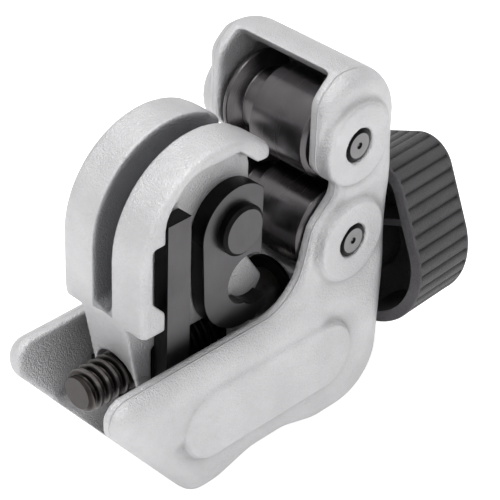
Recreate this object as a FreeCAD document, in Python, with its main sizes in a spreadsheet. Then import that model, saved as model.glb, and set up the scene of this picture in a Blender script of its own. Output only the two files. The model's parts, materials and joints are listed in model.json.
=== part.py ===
"""Close-quarters tubing cutter with a spring-fed cutter wheel, as a parametric FreeCAD document.

Frame: +X runs along the feed screw towards the knob, +Z is up through both rollers, and Y is across the
tool, with the cut plane at Y = 0. The origin is under the middle of the tool, on the surface it stands on.
Lengths along X are counted from the roller axes, and heights from the base, unless a name says otherwise.
"""
import FreeCAD, Part
import math
import os
import re

import Sketcher

Vector = FreeCAD.Vector

# Driving dimensions in millimetres, one spreadsheet cell each.
SIZES = {
    # housing, side view
    "housing_length": 53.9,
    "housing_width": 25.1,
    "bridge_wall": 3.3,
    "wall": 4.0,
    "back_wall": 1.5,
    "edge_round": 3.0,
    "roller_to_back": 8.9,
    "mid_height": 38.95,
    "rim_height": 23.45,
    "floor_height": 11.05,
    "back_block": 12.4,
    "nose_depth": 4.7,
    "nose_round": 3.2,
    "nose_undercut": 15.4,
    "belly_start": 20.0,
    "heel_land": 13.9,
    "scoop_depth": 1.9,
    "scoop_round": 8.0,
    "heel_round": 9.0,
    "crown_round": 10.2,
    "crown_front": 3.0,
    "crown_edge_round": 1.2,
    "lobe_reach": 6.6,
    "lobe_top": 16.4,
    "lobe_bottom": 5.1,
    "lobe_round": 3.6,
    "notch_reach": 2.1,
    "notch_top": 2.3,
    "notch_bottom": 0.3,
    "notch_round": 2.0,
    "shoulder_reach": 6.3,
    "shoulder_drop": 3.9,
    "shoulder_foot": 9.4,
    "shoulder_round": 4.0,
    "rim_sweep": 8.0,
    "bridge_front": 0.2,
    "bridge_bevel": 4.5,
    "bridge_round": 5.0,
    "roller_room": 0.8,
    "bridge_room": 1.2,
    "boss_radius": 6.3,
    "boss_stand": 0.3,
    "boss_edge_round": 0.25,
    "pin_set_back": 0.15,
    "pin_end_bevel": 0.7,
    "pin_end_length": 0.3,
    "pad_back": 1.0,
    "pad_length": 33.2,
    "pad_end_round": 5.5,
    "pad_drop": 26.5,
    "side_taper": 0.5,
    "side_taper_top": 18.0,
    # rollers
    "roller_pitch": 15.8,
    "roller_radius": 6.9,
    "roller_pin_radius": 2.6,
    "roller_end_gap": 0.45,
    "roller_chamfer": 0.6,
    "flare_groove_start": 2.3,
    "flare_groove_end": 6.9,
    "flare_groove_slope": 1.3,
    "flare_neck_radius": 4.9,
    # running clearances
    "pin_clearance": 0.05,
    "screw_clearance": 0.08,
    "slide_clearance": 0.15,
    "knob_gap": 1.6,
    # feed screw, knob and their fittings
    "screw_radius": 3.175,
    "screw_height": 18.75,
    "screw_reach": 41.7,
    "screw_in_knob": 7.9,
    "screw_chamfer": 0.6,
    "knob_length": 12.1,
    "knob_turn": 22.5,
    "knob_half_width": 17.3,
    "knob_draft": 0.8,
    "knob_wing_height": 14.8,
    "knob_waist_height": 11.8,
    "knob_corner_round": 5.1,
    "knob_lobe_round": 12.0,
    "knob_step_width": 2.6,
    "knob_step_round": 6.0,
    "knob_wall": 1.8,
    "knob_back_wall": 4.1,
    "knob_hub_radius": 6.2,
    "knob_web": 1.2,
    "knob_web_height": 3.5,
    "knob_web_drop": 3.0,
    "knob_chamfer": 0.35,
    "knob_back_recess": 3.0,
    "knob_back_recess_radius": 4.2,
    "washer_radius": 6.0,
    "washer_clearance": 0.1,
    "ring_radius": 5.0,
    "ring_thickness": 0.7,
    "ring_groove_radius": 2.55,
    "ring_gap": 0.1,
    "knob_screw_radius": 2.0,
    "knob_screw_head_radius": 3.6,
    "knob_screw_head": 2.2,
    "knob_screw_length": 6.0,
    # slide
    "slide_front": 36.9,
    "dome_radius": 14.5,
    "dome_top": 15.0,
    "slide_width": 16.1,
    "web_width": 8.8,
    "lip_thickness": 2.2,
    "lip_end": 12.9,
    "lip_end_angle": 40.6,
    "hood_bottom": 9.8,
    "hood_wall": 2.0,
    "hood_edge_round": 0.9,
    "hook_reach": 4.3,
    "hook_height": 2.9,
    "hook_slope": 2.5,
    "brow_bottom": 4.1,
    "brow_bevel": 4.7,
    "brow_round": 5.0,
    "lip_round": 1.0,
    "lip_end_bottom": 9.4,
    "slot_width": 3.4,
    "slot_bottom": 8.6,
    "groove_depth": 5.0,
    "wheel_side_gap": 0.4,
    "wheel_rim_gap": 0.6,
    "web_back": 13.6,
    "web_back_bottom": 7.8,
    "web_low_back": 10.4,
    "web_low_top": 12.6,
    "web_low_bottom": 13.6,
    "web_underside": 15.1,
    "chin_start": 8.5,
    "chin_round": 12.0,
    "chin_bottom": 21.4,
    "chin_set_back": 2.6,
    "chin_back": 31.7,
    "saddle_radius": 3.7,
    "foot_front": 17.0,
    "foot_back": 12.2,
    "foot_top": 16.2,
    "shoe_height": 4.4,
    # nut with its two arms, and the feed spring
    "nut_front": 31.5,
    "nut_back": 24.2,
    "nut_top": 15.3,
    "arm_width": 4.4,
    "arm_top": 6.0,
    "arm_clearance": 0.1,
    "plate_thickness": 2.6,
    "spring_wire": 0.8,
    "spring_coil_radius": 3.95,
    "spring_turns": 4.5,
    "seat_washer": 0.8,
    "seat_radius": 4.35,
    # wheel, its pin and the side plates
    "wheel_setback": 18.2,
    "wheel_radius": 9.1,
    "wheel_hub_radius": 4.2,
    "wheel_hub_width": 3.0,
    "wheel_web_width": 1.5,
    "wheel_bevel_radius": 7.0,
    "wheel_edge_width": 0.08,
    "wheel_pin_radius": 2.0,
    "wheel_pin_head_radius": 3.86,
    "wheel_pin_head": 1.5,
    "wheel_pin_chamfer": 0.35,
    "wheel_pin_tail": 1.3,
    "clip_radius": 3.5,
    "clip_thickness": 0.6,
    "clip_groove_radius": 1.55,
    "clip_gap": 0.05,
    "plate_radius": 6.6,
    "plate_cut": 13.2,
    "plate_low_radius": 8.2,
    "plate_low_setback": 16.2,
    "plate_low_drop": 9.0,
    "plate_low_cut": 12.0,
    "window_radius": 3.9,
    "window_setback": 15.8,
    "window_drop": 9.6,
    "window_run": 2.2,
}

# Places and fits worked out from the sizes above. Each is an expression in their names.
DERIVED = {
    "front_x": "-(housing_length + knob_gap + knob_length) / 2",
    "back_x": "front_x + housing_length",
    "roller_x": "back_x - roller_to_back",
    "half_width": "housing_width / 2",
    "wall_face": "half_width - boss_stand",
    "channel_half": "half_width - wall",
    "upper_z": "mid_height + roller_pitch / 2",
    "lower_z": "mid_height - roller_pitch / 2",
    "nose_z": "rim_height - nose_depth",
    "scoop_back": "housing_length - heel_land",
    "scoop_slope": "0.325 * (scoop_back - belly_start)",
    "block_x": "back_x - back_block",
    "roller_half": "channel_half - roller_end_gap",
    "cage_floor": "lower_z - roller_radius - roller_room",
    "bridge_z": "upper_z + roller_radius + bridge_room",
    "housing_height": "bridge_z + bridge_wall",
    "slide_x": "roller_x - slide_front",
    "wheel_x": "roller_x - wheel_setback",
    "plate_face": "web_width / 2 + plate_thickness",
    "guide_half": "channel_half - slide_clearance",
    "screw_front": "roller_x - screw_reach",
    "knob_front": "back_x + knob_gap",
    "knob_back": "knob_front + knob_length",
    "knob_hollow": "knob_length - knob_back_wall",
    "washer_thickness": "knob_gap - washer_clearance",
    "slide_floor": "floor_height + slide_clearance",
    "nut_x": "roller_x - nut_front",
    "nut_length": "nut_front - nut_back",
    "nut_top_z": "mid_height - nut_top",
    "seat_x": "roller_x - foot_front - seat_washer",
    "spring_length": "nut_back - foot_front - seat_washer",
}

WORD = re.compile(r"[a-z][a-z0-9_]*")
FUNCTIONS = ("sqrt", "tan")

doc = FreeCAD.newDocument("tubing_cutter")
sheet = doc.addObject("Spreadsheet::Sheet", "sizes")
for row, (alias, value) in enumerate(SIZES.items(), start=1):
    sheet.set("A%d" % row, alias)
    sheet.set("B%d" % row, str(value))
    sheet.setAlias("B%d" % row, alias)
doc.recompute()


def bound(text):
    """An expression for setExpression, with each name replaced by its cell or its own formula."""
    def replace(match):
        name = match.group(0)
        if name in DERIVED:
            return "(" + bound(DERIVED[name]) + ")"
        if name in SIZES:
            return "sizes." + name
        if name in FUNCTIONS:
            return name
        raise KeyError(name)
    return WORD.sub(replace, text)


gauge = doc.addObject("Part::Vertex", "gauge")


def size(text):
    """The present value of an expression in the sizes, read from a construction vertex."""
    gauge.setExpression("X", bound(text))
    gauge.recompute()
    return float(gauge.X)


def tie(thing, **links):
    """Binds properties of an object to expressions; a double underscore stands for a dot."""
    for name, text in links.items():
        thing.setExpression(name.replace("__", "."), bound(text))


def place(thing, x="0", y="0", z="0"):
    for axis, text in (("x", x), ("y", y), ("z", z)):
        if text != "0":
            thing.setExpression("Placement.Base." + axis, bound(text))


# ---------------------------------------------------------------- PartDesign helpers

def new_body(label):
    body = doc.addObject("PartDesign::Body", label)
    body.Label = label
    return body


def origin_plane(body, role):
    return [item for item in body.Origin.OriginFeatures if item.Role == role][0]


def new_sketch(body, plane, name):
    sketch = body.newObject("Sketcher::SketchObject", name)
    sketch.AttachmentSupport = [(origin_plane(body, plane), "")]
    sketch.MapMode = "FlatFace"
    return sketch


def polygon(sketch, points):
    """Adds a closed outline whose corners are tied to pairs of expressions."""
    first = sketch.GeometryCount
    count = len(points)
    for index in range(count):
        turn = 2 * math.pi * index / count
        step = 2 * math.pi * (index + 1) / count
        start = Vector(20 * math.cos(turn), 20 * math.sin(turn), 0)
        end = Vector(20 * math.cos(step), 20 * math.sin(step), 0)
        sketch.addGeometry(Part.LineSegment(start, end), False)
    for index in range(count):
        following = first + (index + 1) % count
        sketch.addConstraint(Sketcher.Constraint("Coincident", first + index, 2, following, 1))
    for index, (across, up) in enumerate(points):
        for kind, text in (("DistanceX", across), ("DistanceY", up)):
            datum = sketch.addConstraint(Sketcher.Constraint(kind, -1, 1, first + index, 1, 1.0))
            sketch.setExpression("Constraints[%d]" % datum, bound(text))


def circle(sketch, across, up, radius):
    """Adds a circle whose centre and radius are tied to expressions."""
    index = sketch.addGeometry(Part.Circle(Vector(1, 1, 0), Vector(0, 0, 1), 1.0), False)
    for kind, text in (("DistanceX", across), ("DistanceY", up)):
        datum = sketch.addConstraint(Sketcher.Constraint(kind, -1, 1, index, 3, 1.0))
        sketch.setExpression("Constraints[%d]" % datum, bound(text))
    datum = sketch.addConstraint(Sketcher.Constraint("Radius", index, 1.0))
    sketch.setExpression("Constraints[%d]" % datum, bound(radius))


def extrude(body, kind, name, sketch, length):
    """A Pad or Pocket of a sketch, half its length to each side of the sketch's plane."""
    feature = body.newObject("PartDesign::" + kind, name)
    feature.Profile = sketch
    feature.SideType = "Symmetric"
    feature.setExpression("Length", bound(length))
    doc.recompute()
    return feature


def revolve(body, name, sketch, axis):
    feature = body.newObject("PartDesign::Revolution", name)
    feature.Profile = sketch
    feature.ReferenceAxis = (sketch, [axis])
    feature.Angle = 360
    doc.recompute()
    return feature


def edges_across(feature, x, z):
    """The edges that run across the tool at one place in side view."""
    across = size(x)
    up = size(z)
    names = []
    for number, edge in enumerate(feature.Shape.Edges, start=1):
        ends = [vertex.Point for vertex in edge.Vertexes]
        if len(ends) == 2 and all(abs(p.x - across) < 1e-4 and abs(p.z - up) < 1e-4 for p in ends):
            names.append("Edge%d" % number)
    return names


def corner_edges(feature, sketch, index):
    """The edges that run across the tool through one corner of a side-view sketch."""
    corner = sketch.Placement.multVec(sketch.Geometry[index].StartPoint)
    return edges_across(feature, "%.9f" % corner.x, "%.9f" % corner.z)


def fillet(body, name, base, edges, radius):
    feature = body.newObject("PartDesign::Fillet", name)
    feature.Base = (base, edges)
    feature.setExpression("Radius", bound(radius))
    doc.recompute()
    return feature


def chamfer(body, name, base, edges, width):
    feature = body.newObject("PartDesign::Chamfer", name)
    feature.Base = (base, edges)
    feature.setExpression("Size", bound(width))
    doc.recompute()
    return feature


def round_corners(body, base, sketch, corners):
    """Rounds corners of a side-view outline, each to its own named radius."""
    for index, radius in corners:
        base = fillet(body, "%s_corner_%d" % (sketch.Name, index), base,
                      corner_edges(base, sketch, index), radius)
    return base


def rim_edges(feature):
    """The edges around the two outer side faces, where these meet the front, back, top and bottom."""
    sides = []
    for face in feature.Shape.Faces:
        normal = face.normalAt(0, 0)
        if face.Surface.TypeId == "Part::GeomPlane" and abs(normal.y) > 0.9:
            sides.append(face)
    names = []
    for number, edge in enumerate(feature.Shape.Edges, start=1):
        touching = [face for face in sides if any(edge.isSame(other) for other in face.Edges)]
        if len(touching) == 1:
            names.append("Edge%d" % number)
    return names


def turned(label, outline, axis_x="0", axis_z="0"):
    """A piece turned about an axis across the tool. Its outline is (distance across, radius) pairs."""
    body = new_body(label)
    sketch = new_sketch(body, "YZ_Plane", label + "_outline")
    polygon(sketch, outline)
    revolve(body, label + "_turned", sketch, "H_Axis")
    place(body, x=axis_x, z=axis_z)
    return body


def turned_on_screw(label, outline):
    """A piece turned about the feed screw's axis. Its outline is (position along X, radius) pairs."""
    body = new_body(label)
    sketch = new_sketch(body, "XZ_Plane", label + "_outline")
    polygon(sketch, outline)
    revolve(body, label + "_turned", sketch, "H_Axis")
    place(body, z="screw_height")
    return body


# ---------------------------------------------------------------- housing

def make_housing():
    """The cast housing: a channel with two side walls that rise into the column for the rollers."""
    body = new_body("housing")
    side = new_sketch(body, "XZ_Plane", "housing_side")
    outline = [
        ("front_x", "rim_height"),
        ("front_x", "nose_z"),
        ("front_x + nose_undercut", "0"),
        ("front_x + belly_start", "0"),
        ("front_x + belly_start + scoop_slope", "scoop_depth"),
        ("front_x + scoop_back - scoop_slope", "scoop_depth"),
        ("front_x + scoop_back", "0"),
        ("back_x", "0"),
        ("back_x", "housing_height"),
        ("roller_x - crown_front", "housing_height"),
        ("roller_x - lobe_reach", "mid_height + lobe_top"),
        ("roller_x - lobe_reach", "mid_height + lobe_bottom"),
        ("roller_x - notch_reach", "mid_height + notch_top"),
        ("roller_x - notch_reach", "mid_height - notch_bottom"),
        ("roller_x - shoulder_reach", "mid_height - shoulder_drop"),
        ("roller_x - shoulder_foot", "rim_height"),
    ]
    polygon(side, outline)
    block = extrude(body, "Pad", "housing_block", side, "2 * wall_face")
    corners = [
        (0, "nose_round"), (1, "nose_round"), (2, "nose_round"),
        (3, "scoop_round"), (4, "scoop_round"), (5, "scoop_round"), (6, "scoop_round"),
        (7, "heel_round"), (8, "crown_round"), (9, "crown_edge_round"),
        (10, "lobe_round"), (11, "lobe_round"), (12, "notch_round"), (13, "notch_round"),
        (14, "shoulder_round"), (15, "rim_sweep"),
    ]
    rounded = round_corners(body, block, side, corners)
    taper = new_sketch(body, "YZ_Plane", "side_taper_end")
    taper_top = "mid_height - side_taper_top"
    for sign in ("-", ""):
        polygon(taper, [
            ("%s(wall_face)" % sign, taper_top),
            ("%s(wall_face - side_taper)" % sign, "0"),
            (sign + "(half_width + wall)", "0"),
            (sign + "(half_width + wall)", taper_top),
        ])
    tapered = extrude(body, "Pocket", "side_taper_cut", taper, "2 * (housing_length + knob_length)")
    fillet(body, "housing_edges", tapered, rim_edges(tapered), "edge_round")

    bosses = new_sketch(body, "XZ_Plane", "boss_circles")
    circle(bosses, "roller_x", "upper_z", "boss_radius")
    circle(bosses, "roller_x", "lower_z", "boss_radius")
    raised = extrude(body, "Pad", "bosses", bosses, "housing_width")
    names = []
    for number, edge in enumerate(raised.Shape.Edges, start=1):
        round_edge = abs(edge.Length - 2 * math.pi * size("boss_radius")) < 1e-4
        if round_edge and abs(abs(edge.CenterOfMass.y) - size("half_width")) < 1e-6:
            names.append("Edge%d" % number)
    fillet(body, "boss_edges", raised, names, "boss_edge_round")

    pad_x = "roller_x + pad_back - pad_end_round"
    pad_z = "mid_height - pad_drop"
    pad_front_x = "roller_x + pad_back - pad_length + pad_end_round"
    ends = new_sketch(body, "XZ_Plane", "pad_end_circles")
    circle(ends, pad_x, pad_z, "pad_end_round")
    circle(ends, pad_front_x, pad_z, "pad_end_round")
    extrude(body, "Pad", "pad_ends", ends, "housing_width")
    band = new_sketch(body, "XZ_Plane", "pad_band_side")
    polygon(band, [
        (pad_front_x, pad_z + " - pad_end_round"),
        (pad_x, pad_z + " - pad_end_round"),
        (pad_x, pad_z + " + pad_end_round"),
        (pad_front_x, pad_z + " + pad_end_round"),
    ])
    extrude(body, "Pad", "pad_band", band, "housing_width")

    channel = new_sketch(body, "XZ_Plane", "channel_side")
    clear_front = "front_x - wall"
    clear_top = "housing_height + wall"
    polygon(channel, [
        (clear_front, "floor_height"),
        ("block_x", "floor_height"),
        ("block_x", "cage_floor"),
        ("back_x - back_wall", "cage_floor"),
        ("back_x - back_wall", "bridge_z - bridge_bevel"),
        ("back_x - back_wall - bridge_bevel", "bridge_z"),
        ("roller_x + bridge_front", "bridge_z"),
        ("roller_x + bridge_front - (housing_height + wall - bridge_z)", clear_top),
        (clear_front, clear_top),
    ])
    cut = extrude(body, "Pocket", "channel", channel, "2 * channel_half")
    round_corners(body, cut, channel, [(4, "bridge_round"), (5, "bridge_round")])

    pins = new_sketch(body, "XZ_Plane", "pin_holes_side")
    circle(pins, "roller_x", "upper_z", "roller_pin_radius")
    circle(pins, "roller_x", "lower_z", "roller_pin_radius")
    extrude(body, "Pocket", "pin_holes", pins, "2 * housing_width")

    bore = new_sketch(body, "YZ_Plane", "screw_bore_end")
    circle(bore, "0", "screw_height", "screw_radius + screw_clearance")
    extrude(body, "Pocket", "screw_bore", bore, "2 * (housing_length + knob_length)")

    return body


def make_roller_pin(label, height):
    """A roller's axle, pressed into both side walls, with bevelled ends just below the boss faces."""
    end = "(half_width - pin_set_back)"
    face = "roller_pin_radius - pin_end_bevel"
    return turned(label, [
        ("-" + end, "0"),
        ("-" + end, face),
        ("-(%s - pin_end_length)" % end, "roller_pin_radius"),
        (end + " - pin_end_length", "roller_pin_radius"),
        (end, face),
        (end, "0"),
    ], "roller_x", height)


def make_roller(label, height):
    """A hardened roller with a flare groove beyond the cut plane."""
    bore = "roller_pin_radius + pin_clearance"
    rim = "roller_radius - roller_chamfer"
    return turned(label, [
        ("-roller_half", bore),
        ("-roller_half", rim),
        ("-roller_half + roller_chamfer", "roller_radius"),
        ("flare_groove_start", "roller_radius"),
        ("flare_groove_start", "flare_neck_radius"),
        ("flare_groove_end - flare_groove_slope", "flare_neck_radius"),
        ("flare_groove_end", "roller_radius"),
        ("roller_half - roller_chamfer", "roller_radius"),
        ("roller_half", rim),
        ("roller_half", bore),
    ], "roller_x", height)


# ---------------------------------------------------------------- slide

def make_slide():
    """The cast slide: a slotted web under a domed hood, with a foot that runs in the channel."""
    body = new_body("slide_casting")
    dome = new_sketch(body, "XZ_Plane", "dome_side")
    circle(dome, "slide_x + dome_radius", "mid_height + dome_top - dome_radius", "dome_radius")
    extrude(body, "Pad", "dome", dome, "slide_width")
    side = new_sketch(body, "XZ_Plane", "slide_side")
    polygon(side, [
        ("slide_x", "mid_height + dome_top - dome_radius"),
        ("roller_x - web_back", "mid_height + dome_top - dome_radius"),
        ("roller_x - web_back", "mid_height - web_back_bottom"),
        ("roller_x - web_low_back", "mid_height - web_low_top"),
        ("roller_x - web_low_back", "mid_height - web_low_bottom"),
        ("roller_x - foot_back", "mid_height - foot_top"),
        ("roller_x - foot_back", "slide_floor"),
        ("roller_x - foot_front", "slide_floor"),
        ("roller_x - foot_front", "mid_height - web_underside"),
        ("roller_x - chin_back", "mid_height - web_underside"),
        ("roller_x - chin_back", "mid_height - chin_bottom"),
        ("slide_x + chin_set_back", "mid_height - chin_bottom"),
        ("slide_x", "mid_height - chin_start"),
    ])
    extrude(body, "Pad", "slide_block", side, "slide_width")
    throat = new_sketch(body, "XZ_Plane", "throat_side")
    polygon(throat, [
        ("roller_x - web_back", "mid_height + lip_end_bottom"),
        ("roller_x - lip_end", "mid_height + lip_end_bottom"),
        ("roller_x - lip_end", "mid_height + dome_top + wall"),
        ("roller_x", "mid_height + dome_top + wall"),
        ("roller_x", "mid_height - web_low_bottom"),
        ("roller_x - web_low_back", "mid_height - web_low_bottom"),
        ("roller_x - web_low_back", "mid_height - web_low_top"),
        ("roller_x - web_back", "mid_height - web_back_bottom"),
    ])
    base = extrude(body, "Pocket", "throat", throat, "2 * slide_width")
    lip_rise = "sqrt(dome_radius ^ 2 - (slide_front - dome_radius - lip_end) ^ 2)"
    lip_edges = edges_across(base, "roller_x - lip_end", "mid_height + dome_top - dome_radius + " + lip_rise)
    base = fillet(body, "lip_end_edge", base, lip_edges, "lip_round")
    round_corners(body, base, side, [(12, "chin_round")])

    for name, sign in (("near", ""), ("far", "-")):
        recess = new_sketch(body, "XZ_Plane", name + "_cheek_side")
        recess.setExpression("AttachmentOffset.Base.z", bound(sign + "slide_width / 2"))
        hook_x = "slide_x + hook_reach"
        inner_x = "slide_x + hood_wall"
        inner_top = "mid_height + dome_top - lip_thickness"
        lip_run = "(dome_top - lip_thickness - lip_end_bottom) / tan(lip_end_angle)"
        lip_inner_x = "roller_x - lip_end - lip_thickness"
        clear_front = "slide_x - wall"
        clear_back = "roller_x"
        clear_low = "slide_floor - wall"
        polygon(recess, [
            (clear_front, "mid_height - hood_bottom"),
            (hook_x, "mid_height - hood_bottom"),
            (hook_x, "mid_height - hood_bottom + hook_height"),
            (inner_x, "mid_height - hood_bottom + hook_height + hook_slope"),
            (inner_x, "mid_height + brow_bottom"),
            (hook_x, "mid_height + brow_bottom"),
            (hook_x, inner_top + " - brow_bevel"),
            (hook_x + " + brow_bevel", inner_top),
            ("%s - %s" % (lip_inner_x, lip_run), inner_top),
            (lip_inner_x, "mid_height + lip_end_bottom"),
            (clear_back, "mid_height + lip_end_bottom"),
            (clear_back, clear_low),
            (clear_front, clear_low),
        ])
        cut = extrude(body, "Pocket", name + "_cheek", recess, "slide_width - web_width")
        for index in (6, 7):
            edges = cheek_edges(cut, recess, index, name)
            cut = fillet(body, "%s_brow_%d" % (name, index), cut, edges, "brow_round")
    fillet(body, "hood_edges", cut, dome_edges(cut), "hood_edge_round")

    foot = new_sketch(body, "XZ_Plane", "foot_side")
    polygon(foot, [
        ("roller_x - foot_front", "slide_floor"),
        ("roller_x - foot_back", "slide_floor"),
        ("roller_x - foot_back", "slide_floor + shoe_height"),
        ("roller_x - foot_front", "slide_floor + shoe_height"),
    ])
    extrude(body, "Pad", "foot", foot, "2 * guide_half")

    slot_low = "mid_height - slot_bottom"
    floor_end = new_sketch(body, "YZ_Plane", "slot_floor_end")
    circle(floor_end, "0", slot_low + " + slot_width / 2", "slot_width / 2")
    extrude(body, "Pocket", "slot_floor", floor_end, "2 * (housing_length + knob_length)")
    slot = new_sketch(body, "YZ_Plane", "wheel_slot_end")
    polygon(slot, [
        ("-slot_width / 2", slot_low + " + slot_width / 2"),
        ("slot_width / 2", slot_low + " + slot_width / 2"),
        ("slot_width / 2", "housing_height + wall"),
        ("-slot_width / 2", "housing_height + wall"),
    ])
    extrude(body, "Pocket", "wheel_slot", slot, "2 * (housing_length + knob_length)")
    arch = new_sketch(body, "XZ_Plane", "bulkhead_arch_side")
    circle(arch, "slide_x + dome_radius", "mid_height + dome_top - dome_radius",
           "dome_radius - groove_depth")
    extrude(body, "Pad", "bulkhead_arch", arch, "slot_width + wheel_side_gap")
    stem = new_sketch(body, "XZ_Plane", "bulkhead_stem_side")
    polygon(stem, [
        ("slide_x + groove_depth", "mid_height + dome_top - dome_radius"),
        ("slide_x + groove_depth", slot_low + " - wheel_side_gap"),
        ("roller_x - web_back", slot_low + " - wheel_side_gap"),
        ("roller_x - web_back", "mid_height + dome_top - dome_radius"),
    ])
    extrude(body, "Pad", "bulkhead_stem", stem, "slot_width + wheel_side_gap")
    pocket = new_sketch(body, "XZ_Plane", "wheel_pocket_side")
    circle(pocket, "wheel_x", "mid_height", "wheel_radius + wheel_rim_gap")
    extrude(body, "Pocket", "wheel_pocket", pocket, "slot_width")

    bore = new_sketch(body, "YZ_Plane", "saddle_end")
    circle(bore, "0", "screw_height", "saddle_radius")
    extrude(body, "Pocket", "saddle", bore, "2 * (housing_length + knob_length)")

    pivot = new_sketch(body, "XZ_Plane", "wheel_pin_side")
    circle(pivot, "wheel_x", "mid_height", "wheel_pin_radius + pin_clearance")
    extrude(body, "Pocket", "wheel_pin_hole", pivot, "2 * slide_width")
    return body


def dome_edges(feature):
    """The outer edges of the hood where the dome meets its two sides."""
    centre = Vector(size("slide_x + dome_radius"), 0, size("mid_height + dome_top - dome_radius"))
    names = []
    for number, edge in enumerate(feature.Shape.Edges, start=1):
        ends = edge.discretize(3)
        across = max(abs(abs(point.y) - size("slide_width / 2")) for point in ends)
        radii = [math.hypot(point.x - centre.x, point.z - centre.z) for point in ends]
        if across < 1e-6 and max(abs(radius - size("dome_radius")) for radius in radii) < 1e-4:
            names.append("Edge%d" % number)
    return names


def cheek_edges(feature, sketch, index, name):
    """The corner edges of a cheek recess on one side of the cut plane."""
    names = []
    for edge in corner_edges(feature, sketch, index):
        middle = feature.Shape.getElement(edge).CenterOfMass.y
        if (middle < 0) == (name == "near"):
            names.append(edge)
    return names


def make_side_plate(label, near):
    """A hardened plate on one side of the web. It holds the wheel pin, and its window lightens it."""
    body = new_body(label)
    low_x = "roller_x - plate_low_setback"
    low_z = "mid_height - plate_low_drop"
    plane = "-web_width / 2" if near else "web_width / 2 + plate_thickness"

    def layer(kind, name, draw):
        sketch = new_sketch(body, "XZ_Plane", "%s_%s_side" % (label, name))
        draw(sketch)
        feature = body.newObject("PartDesign::" + kind, "%s_%s" % (label, name))
        feature.Profile = sketch
        feature.setExpression("Length", bound("plate_thickness" if kind == "Pad" else "2 * housing_width"))
        if kind == "Pocket":
            feature.SideType = "Symmetric"
        doc.recompute()
        return feature

    layer("Pad", "eye", lambda sketch: circle(sketch, "wheel_x", "mid_height", "plate_radius"))
    layer("Pad", "tail", lambda sketch: circle(sketch, low_x, low_z, "plate_low_radius"))
    layer("Pad", "shank", lambda sketch: polygon(sketch, [
        ("wheel_x - plate_radius", "mid_height"),
        (low_x + " - plate_low_radius", low_z),
        (low_x + " + plate_low_radius", low_z),
        ("wheel_x + plate_radius", "mid_height"),
    ]))
    layer("Pocket", "back_edge", lambda sketch: polygon(sketch, [
        ("roller_x - plate_cut", "mid_height + 2 * plate_radius"),
        ("roller_x - plate_cut", "mid_height - web_back_bottom"),
        ("roller_x - plate_low_cut", "mid_height - web_low_top"),
        ("roller_x - plate_low_cut", low_z + " - 2 * plate_low_radius"),
        ("roller_x + plate_low_radius", low_z + " - 2 * plate_low_radius"),
        ("roller_x + plate_low_radius", "mid_height + 2 * plate_radius"),
    ]))
    layer("Pocket", "window", lambda sketch: circle(
        sketch, "roller_x - window_setback", "mid_height - window_drop", "window_radius"))
    layer("Pocket", "window_end", lambda sketch: circle(
        sketch, "roller_x - window_setback + window_run", "mid_height - window_drop - window_run / 2",
        "window_radius"))
    layer("Pocket", "pin_hole", lambda sketch: circle(
        sketch, "wheel_x", "mid_height", "wheel_pin_radius + pin_clearance"))
    place(body, y=plane)
    return body


def make_wheel():
    """The cutter wheel, bevelled on both sides to its edge."""
    hub = "wheel_hub_width / 2"
    web = "wheel_web_width / 2"
    edge = "wheel_edge_width / 2"
    bore = "wheel_pin_radius + pin_clearance"
    return turned("cutter_wheel", [
        ("-" + hub, bore),
        ("-" + hub, "wheel_hub_radius"),
        ("-" + web, "wheel_hub_radius"),
        ("-" + web, "wheel_bevel_radius"),
        ("-" + edge, "wheel_radius"),
        (edge, "wheel_radius"),
        (web, "wheel_bevel_radius"),
        (web, "wheel_hub_radius"),
        (hub, "wheel_hub_radius"),
        (hub, bore),
    ], "wheel_x", "mid_height")


def make_wheel_pin():
    """The headed wheel pin, grooved at its far end for the clip."""
    head_face = "-(plate_face + wheel_pin_head)"
    groove = "plate_face + clip_gap"
    groove_end = "plate_face + 3 * clip_gap + clip_thickness"
    tail = "plate_face + wheel_pin_tail"
    return turned("wheel_pin", [
        (head_face, "0"),
        (head_face, "wheel_pin_head_radius - wheel_pin_chamfer"),
        (head_face + " + wheel_pin_chamfer", "wheel_pin_head_radius"),
        ("-plate_face", "wheel_pin_head_radius"),
        ("-plate_face", "wheel_pin_radius"),
        (groove, "wheel_pin_radius"),
        (groove, "clip_groove_radius"),
        (groove_end, "clip_groove_radius"),
        (groove_end, "wheel_pin_radius"),
        (tail, "wheel_pin_radius"),
        (tail, "0"),
    ], "wheel_x", "mid_height")


def make_pin_clip():
    start = "plate_face + 2 * clip_gap"
    end = start + " + clip_thickness"
    bore = "clip_groove_radius + pin_clearance"
    return turned("pin_clip", [(start, bore), (start, "clip_radius"), (end, "clip_radius"), (end, bore)],
                  "wheel_x", "mid_height")


# ---------------------------------------------------------------- nut and feed spring

def make_nut():
    """The feed nut: a narrow core on the screw, standing on a shoe that the channel guides."""
    body = new_body("feed_nut")
    end = new_sketch(body, "YZ_Plane", "nut_end")
    core = "web_width / 2"
    shoe_top = "slide_floor + shoe_height"
    polygon(end, [
        ("-guide_half", "slide_floor"),
        ("guide_half", "slide_floor"),
        ("guide_half", shoe_top),
        (core, shoe_top),
        (core, "nut_top_z"),
        ("-" + core, "nut_top_z"),
        ("-" + core, shoe_top),
        ("-guide_half", shoe_top),
    ])
    block = body.newObject("PartDesign::Pad", "nut_block")
    block.Profile = end
    block.setExpression("Length", bound("nut_length"))
    doc.recompute()
    bore = new_sketch(body, "YZ_Plane", "nut_bore_end")
    circle(bore, "0", "screw_height", "screw_radius + screw_clearance")
    extrude(body, "Pocket", "nut_bore", bore, "3 * nut_length")
    place(body, x="nut_x")
    return body


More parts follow.
